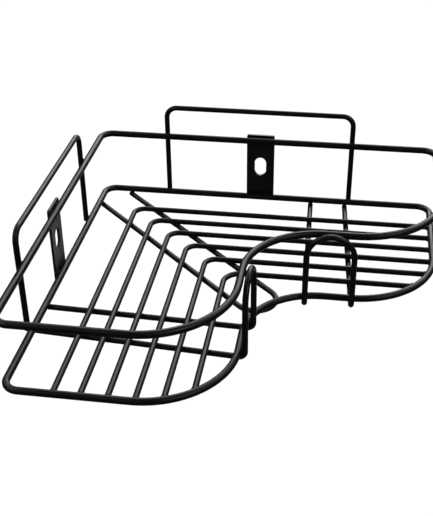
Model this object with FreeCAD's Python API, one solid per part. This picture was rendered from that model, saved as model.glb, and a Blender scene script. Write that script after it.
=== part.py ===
import FreeCAD, Part
import math
import os

os.makedirs("parts", exist_ok=True)

V = FreeCAD.Vector

# Corner shower caddy: a welded wire basket that follows the two walls of a room corner.
# Millimetres, +Z up. +X runs along the rear wall, +Y points into the rear wall, and the
# left wall stands on the -X side. The origin is the middle of the footprint at its lowest point.
# Every length "from the corner" starts where the wall sides of the rim centre lines meet.

# ---- wire stock -------------------------------------------------------------------------
COAT = 0.2                  # thickness of the black coat
RIM_D = 5.0 + 2 * COAT      # both rims, 5 mm wire
WIRE_D = 4.0 + 2 * COAT     # every other wire, 4 mm wire
RIM_R = RIM_D / 2
WIRE_R = WIRE_D / 2
WELD_BITE = 0.05            # how far welded wires sink into each other
SAME = 0.01                 # points closer than this are one point

# ---- plan outline of the rims, on the wire centre line --------------------------------------
ARM_LENGTH = 288.0          # corner to the end of each arm
ARM_WIDTH = 150.0           # wall side to room side of each arm
RIM_SPACING = 54.0          # lower rim to upper rim
CORNER_BEND = 10.0          # in the corner of the room
END_BEND = 11.0             # wall side of each arm end
ARM_END_BEND = 63.0         # large round on the room side of each arm end
FRONT_BEND = 54.0           # hollow curve between the two arms

# ---- floor wires ----------------------------------------------------------------------------
FLOOR_COUNT = 6
FLOOR_FIRST = 34.5          # wall side of the rim to the first wire
FLOOR_LAST_GAP = 23.0       # last wire to the room side of the rim
FLOOR_BEND = 9.0
FLOOR_LAST_BEND = 13.0      # softer bend of the wire nearest the room

# ---- wall guards ----------------------------------------------------------------------------
GUARD_NEAR = 57.0           # corner to the nearer leg
GUARD_WIDTH = 161.0         # leg to leg
GUARD_RISE = 79.0           # lower rim to the top of the guard, centre lines
GUARD_BEND = 9.0

# ---- mounting plates --------------------------------------------------------------------------
PLATE_WIDTH = 24.0
PLATE_THICK = 2.0
PLATE_MID = 139.5           # corner to the middle of the plate
PLATE_ABOVE_RIM = 1.8       # plate top above the upper rim's top edge
PLATE_CORNER = 2.0
SLOT_WIDTH = 10.0
SLOT_HEIGHT = 17.0
SLOT_CENTRE = 28.5          # above the lower rim's centre line

# ---- hook wires -------------------------------------------------------------------------------
HOOK_WALL_NEAR = 185.0      # corner to the nearer leg, at the wall
HOOK_WALL_GAP = 30.0        # leg to leg, at the wall
HOOK_ROOM_NEAR = 191.0      # corner to the nearer leg, at the room side
HOOK_ROOM_GAP = 35.0        # leg to leg and the width of the arch
HOOK_CROWN_RISE = 1.0       # arch crown above the upper rim's centre line

# ---- diagonal hairpin under the floor ---------------------------------------------------------
HAIRPIN_GAP = 31.0          # leg to leg
HAIRPIN_INSET = 1.5         # closed end behind the middle of the front curve, centre lines

# ---- derived positions --------------------------------------------------------------------------
TOUCH = RIM_R + WIRE_R - WELD_BITE              # rim and wire lying against each other
FLOOR_Z = WIRE_R - RIM_R                        # floor wires level with the rim's underside
UNDER_Z = FLOOR_Z - WIRE_D + WELD_BITE          # wires that run below the floor wires
LOWEST = UNDER_Z - WIRE_R
REACH_WALL = TOUCH + WIRE_R                     # guard wires stand nearest the wall
REACH_ARM = ARM_LENGTH + RIM_R
CENTRE = (REACH_ARM - REACH_WALL) / 2
FLOOR_PITCH = (ARM_WIDTH - FLOOR_FIRST - FLOOR_LAST_GAP) / (FLOOR_COUNT - 1)


def at(u, v, z):
    """Point u along the rear wall and v along the left wall from the corner."""
    return V(u - CENTRE, CENTRE - v, z - LOWEST)


def mirrored(shape):
    """The same piece on the other arm, reflected across the diagonal of the corner."""
    return shape.mirror(V(0, 0, 0), V(1, 1, 0))


def bend_path(corners, bends, closed=False):
    """Straight runs joined by round bends of the given centre-line radii."""
    n = len(corners)
    edges = []
    here = None
    first = None
    turns = range(n) if closed else range(1, n - 1)
    if not closed:
        here = corners[0]
    for i in turns:
        corner = corners[i]
        back = (corners[i - 1] - corner).normalize()
        ahead = (corners[(i + 1) % n] - corner).normalize()
        half = back.getAngle(ahead) / 2
        radius = bends[i if closed else i - 1]
        run = radius / math.tan(half)
        start = corner + back * run
        end = corner + ahead * run
        inward = (back + ahead).normalize()
        middle = corner + inward * (radius / math.sin(half) - radius)
        if here is not None and here.distanceToPoint(start) > SAME:
            edges.append(Part.makeLine(here, start))
        if first is None:
            first = start
        edges.append(Part.Arc(start, middle, end).toShape())
        here = end
    last = first if closed else corners[-1]
    if here.distanceToPoint(last) > SAME:
        edges.append(Part.makeLine(here, last))
    return Part.Wire(edges)


def bent_wire(corners, bends, diameter, closed=False):
    """Round wire of one diameter bent along the path."""
    path = bend_path(corners, bends, closed)
    first = path.OrderedEdges[0]
    start = first.valueAt(first.FirstParameter)
    along = first.tangentAt(first.FirstParameter)
    ring = Part.Wire(Part.makeCircle(diameter / 2, start, along))
    return path.makePipeShell([ring], True, False)


def rim(z):
    """Closed loop with two arms and a hollow front."""
    corners = [
        at(0, 0, z),
        at(ARM_LENGTH, 0, z),
        at(ARM_LENGTH, ARM_WIDTH, z),
        at(ARM_WIDTH, ARM_WIDTH, z),
        at(ARM_WIDTH, ARM_LENGTH, z),
        at(0, ARM_LENGTH, z),
    ]
    bends = [CORNER_BEND, END_BEND, ARM_END_BEND, FRONT_BEND, ARM_END_BEND, END_BEND]
    return bent_wire(corners, bends, RIM_D, closed=True)


def arm_end(offset):
    """How far along an arm the rim's centre line lies at this distance from the wall side."""
    start = ARM_WIDTH - ARM_END_BEND
    if offset <= start:
        return ARM_LENGTH
    across = offset - start
    return ARM_LENGTH - ARM_END_BEND + math.sqrt(ARM_END_BEND ** 2 - across ** 2)


def room_side(along, out):
    """Distance from the wall side to a line this far outside the rim's room side."""
    hollow_end = ARM_WIDTH + FRONT_BEND
    round_start = ARM_LENGTH - ARM_END_BEND
    if along < hollow_end:
        return hollow_end - math.sqrt((FRONT_BEND - out) ** 2 - (hollow_end - along) ** 2)
    if along > round_start:
        inner = ARM_WIDTH - ARM_END_BEND
        return inner + math.sqrt((ARM_END_BEND + out) ** 2 - (along - round_start) ** 2)
    return ARM_WIDTH + out


def floor_wire(index):
    """Bent wire parallel to both walls, its ends welded to the inside of the lower rim."""
    offset = FLOOR_FIRST + index * FLOOR_PITCH
    bend = FLOOR_LAST_BEND if index == FLOOR_COUNT - 1 else FLOOR_BEND
    end = arm_end(offset)
    corners = [at(end, offset, FLOOR_Z), at(offset, offset, FLOOR_Z), at(offset, end, FLOOR_Z)]
    return bent_wire(corners, [bend], WIRE_D).cut(rim(0)).Solids[0]


def wall_guard():
    """Tall frame on the wall side of both rims of the rear arm."""
    far = GUARD_NEAR + GUARD_WIDTH
    foot = -RIM_R
    corners = [
        at(GUARD_NEAR, -TOUCH, foot),
        at(GUARD_NEAR, -TOUCH, GUARD_RISE),
        at(far, -TOUCH, GUARD_RISE),
        at(far, -TOUCH, foot),
    ]
    return bent_wire(corners, [GUARD_BEND, GUARD_BEND], WIRE_D)


def mounting_plate():
    """Slotted strip on the wall side of both rims of the rear arm."""
    low = -RIM_R
    high = RIM_SPACING + RIM_R + PLATE_ABOVE_RIM
    front = -(RIM_R - WELD_BITE)
    back = front - PLATE_THICK
    left = PLATE_MID - PLATE_WIDTH / 2
    plate = Part.makeBox(PLATE_WIDTH, PLATE_THICK, high - low, at(left, front, low))
    top_corners = []
    for edge in plate.Edges:
        start, end = [vertex.Point for vertex in edge.Vertexes]
        if min(start.z, end.z) > high - LOWEST - SAME and abs(start.x - end.x) < SAME:
            top_corners.append(edge)
    plate = plate.makeFillet(PLATE_CORNER, top_corners)
    radius = SLOT_WIDTH / 2
    reach = SLOT_HEIGHT / 2 - radius
    mouth = front + PLATE_THICK
    depth = 3 * PLATE_THICK
    upper = Part.makeCylinder(radius, depth, at(PLATE_MID, mouth, SLOT_CENTRE + reach), V(0, 1, 0))
    lower = Part.makeCylinder(radius, depth, at(PLATE_MID, mouth, SLOT_CENTRE - reach), V(0, 1, 0))
    middle = Part.makeBox(SLOT_WIDTH, depth, 2 * reach,
                          at(PLATE_MID - radius, mouth, SLOT_CENTRE - reach))
    slot = upper.fuse(lower).fuse(middle)
    return plate.cut(slot).removeSplitter().Solids[0]


def hook_wire():
    """One wire: across under the floor, up outside the rims, over in an arch and back."""
    near = HOOK_ROOM_NEAR
    far = HOOK_ROOM_NEAR + HOOK_ROOM_GAP
    near_out = room_side(near, TOUCH)
    far_out = room_side(far, TOUCH)
    crown = RIM_SPACING + HOOK_CROWN_RISE
    corners = [
        at(HOOK_WALL_NEAR, 0, UNDER_Z),
        at(near, near_out, UNDER_Z),
        at(near, near_out, crown),
        at(far, far_out, crown),
        at(far, far_out, UNDER_Z),
        at(HOOK_WALL_NEAR + HOOK_WALL_GAP, 0, UNDER_Z),
    ]
    arch = math.hypot(far - near, far_out - near_out) / 2
    return bent_wire(corners, [TOUCH, arch, arch, TOUCH], WIRE_D)


def hairpin():
    """Long U along the diagonal, under the floor wires and both sides of the lower rim."""
    side = HAIRPIN_GAP / 2
    shift = side / math.sqrt(2)
    front = ARM_WIDTH + FRONT_BEND * (1 - math.sqrt(0.5))
    nose = front - HAIRPIN_INSET / math.sqrt(2)
    corners = [
        at(2 * shift, 0, UNDER_Z),
        at(nose + shift, nose - shift, UNDER_Z),
        at(nose - shift, nose + shift, UNDER_Z),
        at(0, 2 * shift, UNDER_Z),
    ]
    return bent_wire(corners, [side, side], WIRE_D)


pieces = {
    "lower_rim": rim(0),
    "upper_rim": rim(RIM_SPACING),
    "rear_wall_guard": wall_guard(),
    "rear_mounting_plate": mounting_plate(),
    "rear_hook_wire": hook_wire(),
    "diagonal_support": hairpin(),
}
pieces["left_wall_guard"] = mirrored(pieces["rear_wall_guard"])
pieces["left_mounting_plate"] = mirrored(pieces["rear_mounting_plate"])
pieces["left_hook_wire"] = mirrored(pieces["rear_hook_wire"])
for index in range(FLOOR_COUNT):
    pieces["floor_wire_" + str(index + 1)] = floor_wire(index)

for name, shape in pieces.items():
    shape.exportStep("parts/" + name + ".step")
    box = shape.BoundBox
    print(name, shape.ShapeType, len(shape.Solids), shape.isValid(), round(shape.Volume, 1),
          [round(c, 2) for c in (box.XMin, box.YMin, box.ZMin, box.XMax, box.YMax, box.ZMax)])
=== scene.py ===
import math

import bmesh
import bpy
from mathutils import Matrix, Vector, noise


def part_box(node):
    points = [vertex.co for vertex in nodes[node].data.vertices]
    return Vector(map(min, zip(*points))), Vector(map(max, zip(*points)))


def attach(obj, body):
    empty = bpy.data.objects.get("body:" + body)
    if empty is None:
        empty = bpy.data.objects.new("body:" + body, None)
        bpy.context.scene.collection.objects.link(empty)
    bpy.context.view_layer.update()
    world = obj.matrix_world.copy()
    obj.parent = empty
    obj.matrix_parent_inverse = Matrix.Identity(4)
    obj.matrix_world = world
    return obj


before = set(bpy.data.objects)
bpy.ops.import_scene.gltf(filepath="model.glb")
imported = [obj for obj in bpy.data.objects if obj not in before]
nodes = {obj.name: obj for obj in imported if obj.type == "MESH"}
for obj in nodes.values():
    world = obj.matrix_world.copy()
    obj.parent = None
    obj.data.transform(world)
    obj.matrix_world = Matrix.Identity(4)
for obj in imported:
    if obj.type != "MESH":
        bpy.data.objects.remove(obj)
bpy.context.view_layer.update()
MM = 0.001
X, Y, Z = range(3)


# ---- places taken from the frame --------------------------------------------------------------

def low_high(node):
    """The two corners of a node's box."""
    low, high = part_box(node)
    return Vector(low), Vector(high)


rim_low, rim_high = low_high("lower_rim")
top_low, top_high = low_high("upper_rim")
plate_low, plate_high = low_high("rear_mounting_plate")
RIM_R = (rim_high.z - rim_low.z) / 2
RIM_Z = (rim_low.z + rim_high.z) / 2
TOP_Z = (top_low.z + top_high.z) / 2
CORNER = Vector((rim_low.x + RIM_R, rim_high.y - RIM_R, RIM_Z))
WIRE_R = (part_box("floor_wire_1")[1][Z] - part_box("floor_wire_1")[0][Z]) / 2
FLOOR_WIRES = sorted(name for name in nodes if name.startswith("floor_wire"))
UNDER_WIRES = ("rear_hook_wire", "diagonal_support")


# ---- materials --------------------------------------------------------------------------------

PEEL_DEPTH = 0.045 * MM     # orange peel, crest to hollow
PEEL_STRENGTH = 0.9
GRIT_FINER = 6              # the fine grit against the orange peel, in size
GRIT_HEIGHT = 0.25          # and in height
CLOUDS_PER_METRE = 55
CLOUD_LOW, CLOUD_HIGH = 0.3, 0.7        # range of the cloud pattern that changes the gloss
GLOSS_SPREAD = 0.06
DUST = 0.5                  # how far the clouds dull the colour
SPECK_SPACING = 0.9 * MM
SPECK_CORE, SPECK_EDGE = 0.05, 0.18     # in speck spacings


def powder_coat(name, shade, speck, peel_size, roughness, specular):
    """Satin black powder coat: fine orange peel, cloudy gloss and a few paler specks."""
    mat = bpy.data.materials.new(name)
    mat.use_nodes = True
    tree = mat.node_tree
    new = tree.nodes.new
    link = tree.links.new
    shader = tree.nodes["Principled BSDF"]
    shader.inputs["Specular IOR Level"].default_value = specular
    where = new("ShaderNodeTexCoord")

    def pattern(scale, detail):
        texture = new("ShaderNodeTexNoise")
        texture.inputs["Scale"].default_value = scale
        texture.inputs["Detail"].default_value = detail
        link(where.outputs["Object"], texture.inputs["Vector"])
        return texture.outputs["Fac"]

    relief = new("ShaderNodeMath")
    relief.operation = "MULTIPLY_ADD"
    relief.inputs[1].default_value = GRIT_HEIGHT
    link(pattern(GRIT_FINER / peel_size, 2), relief.inputs[0])
    link(pattern(1 / peel_size, 3), relief.inputs[2])
    bump = new("ShaderNodeBump")
    bump.inputs["Strength"].default_value = PEEL_STRENGTH
    bump.inputs["Distance"].default_value = PEEL_DEPTH
    link(relief.outputs[0], bump.inputs["Height"])
    link(bump.outputs["Normal"], shader.inputs["Normal"])

    clouds = pattern(CLOUDS_PER_METRE, 4)
    gloss = new("ShaderNodeMapRange")
    gloss.inputs["From Min"].default_value = CLOUD_LOW
    gloss.inputs["From Max"].default_value = CLOUD_HIGH
    gloss.inputs["To Min"].default_value = roughness - GLOSS_SPREAD
    gloss.inputs["To Max"].default_value = roughness + GLOSS_SPREAD
    link(clouds, gloss.inputs["Value"])
    link(gloss.outputs["Result"], shader.inputs["Roughness"])

    specks = new("ShaderNodeTexVoronoi")
    specks.inputs["Scale"].default_value = 1 / SPECK_SPACING
    link(where.outputs["Object"], specks.inputs["Vector"])
    ramp = new("ShaderNodeValToRGB")
    core, edge = ramp.color_ramp.elements
    core.position = SPECK_CORE
    core.color = (speck, speck, speck, 1)
    edge.position = SPECK_EDGE
    edge.color = (shade, shade, shade * 1.04, 1)
    link(specks.outputs["Distance"], ramp.inputs["Fac"])
    dusty = new("ShaderNodeMix")
    dusty.data_type = "RGBA"
    dusty.blend_type = "MULTIPLY"
    dusty.inputs["Factor"].default_value = DUST
    link(ramp.outputs["Color"], dusty.inputs["A"])
    link(clouds, dusty.inputs["B"])
    link(dusty.outputs["Result"], shader.inputs["Base Color"])
    return mat


wire_coat = powder_coat("wire_powder_coat", shade=0.003, speck=0.008, peel_size=0.8 * MM,
                        roughness=0.36, specular=0.2)
plate_coat = powder_coat("plate_powder_coat", shade=0.004, speck=0.010, peel_size=0.9 * MM,
                         roughness=0.38, specular=0.4)

for name, node in nodes.items():
    node.data.materials.clear()
    node.data.materials.append(plate_coat if "plate" in name else wire_coat)


# ---- welds ------------------------------------------------------------------------------------
# Resistance welds squeeze a little metal out where two wires meet, and the coat runs over it.

SAME_POINT = 0.001 * MM
CUT_REACH = 0.0001 * MM
LUMP_SIZE = 1.3 * MM
LUMP_HEIGHT = 0.16          # of a nugget's radius
TACK_INSET = 0.22           # of a plate's width, from its edges to its welds
TO_RIM = Vector((0, WIRE_R, 0))         # from the middle of a wire on the room side to its contact


def sections(node, axis, value):
    """Centres of the wire wherever the plane axis = value cuts a node."""
    mesh = bmesh.new()
    mesh.from_mesh(nodes[node].data)
    mesh.transform(nodes[node].matrix_world)
    bmesh.ops.remove_doubles(mesh, verts=mesh.verts, dist=SAME_POINT)
    place = Vector()
    place[axis] = value
    normal = Vector()
    normal[axis] = 1
    bmesh.ops.bisect_plane(mesh, geom=mesh.verts[:] + mesh.edges[:] + mesh.faces[:],
                           dist=CUT_REACH, plane_co=place, plane_no=normal,
                           clear_inner=True, clear_outer=True)
    left = set(mesh.verts)
    centres = []
    while left:
        reach = [left.pop()]
        ring = []
        while reach:
            vertex = reach.pop()
            ring.append(vertex.co.copy())
            for edge in vertex.link_edges:
                other = edge.other_vert(vertex)
                if other in left:
                    left.remove(other)
                    reach.append(other)
        centres.append(Vector([(min(p[k] for p in ring) + max(p[k] for p in ring)) / 2
                               for k in (X, Y, Z)]))
    mesh.free()
    return sorted(centres, key=tuple)


def weld(name, spots, radius, height, across):
    """Lumpy nuggets, flattened along one axis, at the rear arm's spots and their mirror images."""
    mesh = bmesh.new()
    size = Matrix.Diagonal([height if k == across else radius for k in (X, Y, Z)]).to_4x4()
    for spot in spots:
        nugget = bmesh.ops.create_icosphere(mesh, subdivisions=3, radius=1,
                                            matrix=Matrix.Translation(spot) @ size)
        for vertex in nugget["verts"]:
            lump = noise.noise(vertex.co / LUMP_SIZE)
            vertex.co += (vertex.co - spot) * LUMP_HEIGHT * lump
    arm = bmesh.ops.duplicate(mesh, geom=mesh.verts[:] + mesh.edges[:] + mesh.faces[:])["geom"]
    for vertex in [part for part in arm if isinstance(part, bmesh.types.BMVert)]:
        vertex.co.xy = -vertex.co.y, -vertex.co.x
    bmesh.ops.recalc_face_normals(mesh, faces=mesh.faces)
    data = bpy.data.meshes.new(name)
    mesh.to_mesh(data)
    mesh.free()
    data.shade_smooth()
    data.materials.append(wire_coat)
    piece = bpy.data.objects.new(name, data)
    bpy.context.collection.objects.link(piece)
    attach(piece, "root")


crossings = []
ends = []
for name in FLOOR_WIRES:
    low, high = low_high(name)
    run = high.y - WIRE_R
    ends.append(Vector((high.x - RIM_R, run, low.z + WIRE_R)))
    for under in UNDER_WIRES:
        for spot in sections(under, Y, run):
            if low.x + WIRE_R < spot.x < high.x and spot.z < low.z:
                crossings.append(Vector((spot.x, run, low.z)))
for under in UNDER_WIRES:
    for spot in sections(under, Y, CORNER.y - WIRE_R / 2):
        if spot.x > CORNER.x + WIRE_R:
            crossings.append(Vector((spot.x, CORNER.y, rim_low.z)))
weld("floor_crossing_welds", crossings, 1.9 * MM, 0.75 * MM, Z)
weld("floor_end_welds", ends, 2.65 * MM, 1.5 * MM, X)

upright = []
for level in (RIM_Z, TOP_Z):
    upright += [leg - TO_RIM for leg in sections("rear_wall_guard", Z, level)]
    upright += [leg + TO_RIM for leg in sections("rear_hook_wire", Z, level)]
weld("upright_welds", upright, 2.1 * MM, 0.85 * MM, Y)

inset = TACK_INSET * (plate_high.x - plate_low.x)
tacks = [Vector((x, plate_low.y, z)) for z in (RIM_Z, TOP_Z)
         for x in (plate_low.x + inset, plate_high.x - inset)]
weld("plate_welds", tacks, 2.2 * MM, 0.8 * MM, Y)


# ---- stage ------------------------------------------------------------------------------------

FLOOR_SIZE = 30
FLOOR_DROP = 1.2            # the caddy hangs clear of the studio floor
ROOM_DIM = 0.06             # how bright the room is that the coat mirrors
ROOM_GLOW = 0.45            # the same for the pale wall low behind the object
GLOW_TOWARDS = (0.13, 0.84, -0.53)
GLOW_STARTS, GLOW_FULL = 0.85, 0.99     # cosines of the angle from GLOW_TOWARDS


def studio_floor():
    """Plain pale floor; the coat mirrors the lights and the room, not the floor."""
    paint = bpy.data.materials.new("studio_floor_paint")
    paint.use_nodes = True
    shader = paint.node_tree.nodes["Principled BSDF"]
    shader.inputs["Base Color"].default_value = (0.9, 0.9, 0.9, 1)
    shader.inputs["Roughness"].default_value = 0.9
    shader.inputs["Specular IOR Level"].default_value = 0
    bpy.ops.mesh.primitive_plane_add(size=FLOOR_SIZE, location=(0, 0, -FLOOR_DROP))
    floor = bpy.context.object
    floor.name = "studio_floor"
    floor.data.materials.append(paint)
    floor.visible_glossy = False


def studio_room():
    """A dim room with a pale wall low at the back, behind a white backdrop for the camera."""
    world = bpy.data.worlds.new("studio")
    bpy.context.scene.world = world
    world.use_nodes = True
    tree = world.node_tree
    new = tree.nodes.new
    link = tree.links.new
    room = tree.nodes["Background"]
    room.inputs["Color"].default_value = (1, 1, 1, 1)
    way = new("ShaderNodeTexCoord")
    towards = new("ShaderNodeVectorMath")
    towards.operation = "DOT_PRODUCT"
    towards.inputs[1].default_value = GLOW_TOWARDS
    link(way.outputs["Generated"], towards.inputs[0])
    glow = new("ShaderNodeMapRange")
    glow.interpolation_type = "SMOOTHSTEP"
    glow.inputs["From Min"].default_value = GLOW_STARTS
    glow.inputs["From Max"].default_value = GLOW_FULL
    glow.inputs["To Min"].default_value = ROOM_DIM
    glow.inputs["To Max"].default_value = ROOM_GLOW
    link(towards.outputs["Value"], glow.inputs["Value"])
    link(glow.outputs["Result"], room.inputs["Strength"])

    backdrop = new("ShaderNodeBackground")
    backdrop.inputs["Color"].default_value = (1, 1, 1, 1)
    ray = new("ShaderNodeLightPath")
    either = new("ShaderNodeMixShader")
    link(ray.outputs["Is Camera Ray"], either.inputs["Fac"])
    link(room.outputs[0], either.inputs[1])
    link(backdrop.outputs[0], either.inputs[2])
    link(either.outputs[0], tree.nodes["World Output"].inputs["Surface"])


def soft_light(name, azimuth, elevation, spread, strength):
    """Wide, distant soft box at a compass azimuth: 0 is behind the object, +90 to its right."""
    turn = math.radians(azimuth)
    lift = math.radians(elevation)
    towards = Vector((math.cos(lift) * math.sin(turn), math.cos(lift) * math.cos(turn),
                      math.sin(lift)))
    data = bpy.data.lights.new(name, "SUN")
    data.angle = math.radians(spread)
    data.energy = strength
    lamp = bpy.data.objects.new(name, data)
    lamp.rotation_euler = towards.to_track_quat("Z", "Y").to_euler()
    bpy.context.collection.objects.link(lamp)


studio_floor()
studio_room()
soft_light("rear_softbox", 4, 31, spread=44, strength=2.6)
for azimuth, elevation in ((-60, 45), (60, 45), (-125, 38), (125, 38)):
    soft_light("side_softbox", azimuth, elevation, spread=28, strength=0.8)


# ---- camera -----------------------------------------------------------------------------------

SENSOR = 36                 # millimetres, along the picture's longer side
PICTURE_HEIGHT = 516
FOCAL = 960.1               # in pixels of that height
AZIMUTH = math.radians(9.01)
ELEVATION = math.radians(32.12)
ROLL = math.radians(-0.711)
EYE = Vector((219.2, -752.9, 410.3)) * MM   # from the corner of the lower rim's centre line
FAR = 50

back = Vector((math.sin(AZIMUTH) * math.cos(ELEVATION),
               -math.cos(AZIMUTH) * math.cos(ELEVATION),
               math.sin(ELEVATION)))
right = (-back).cross(Vector((0, 0, 1))).normalized()
up = right.cross(-back)
side = math.cos(ROLL) * right + math.sin(ROLL) * up
top = -math.sin(ROLL) * right + math.cos(ROLL) * up
lens = bpy.data.cameras.new("photo_camera")
lens.sensor_width = SENSOR
lens.lens = SENSOR * FOCAL / PICTURE_HEIGHT
lens.clip_end = FAR
camera = bpy.data.objects.new("photo_camera", lens)
camera.matrix_world = (Matrix.Translation(CORNER + EYE)
                       @ Matrix((side, top, back)).transposed().to_4x4())
bpy.context.collection.objects.link(camera)
bpy.context.scene.camera = camera

bpy.context.scene.view_settings.view_transform = "Standard"
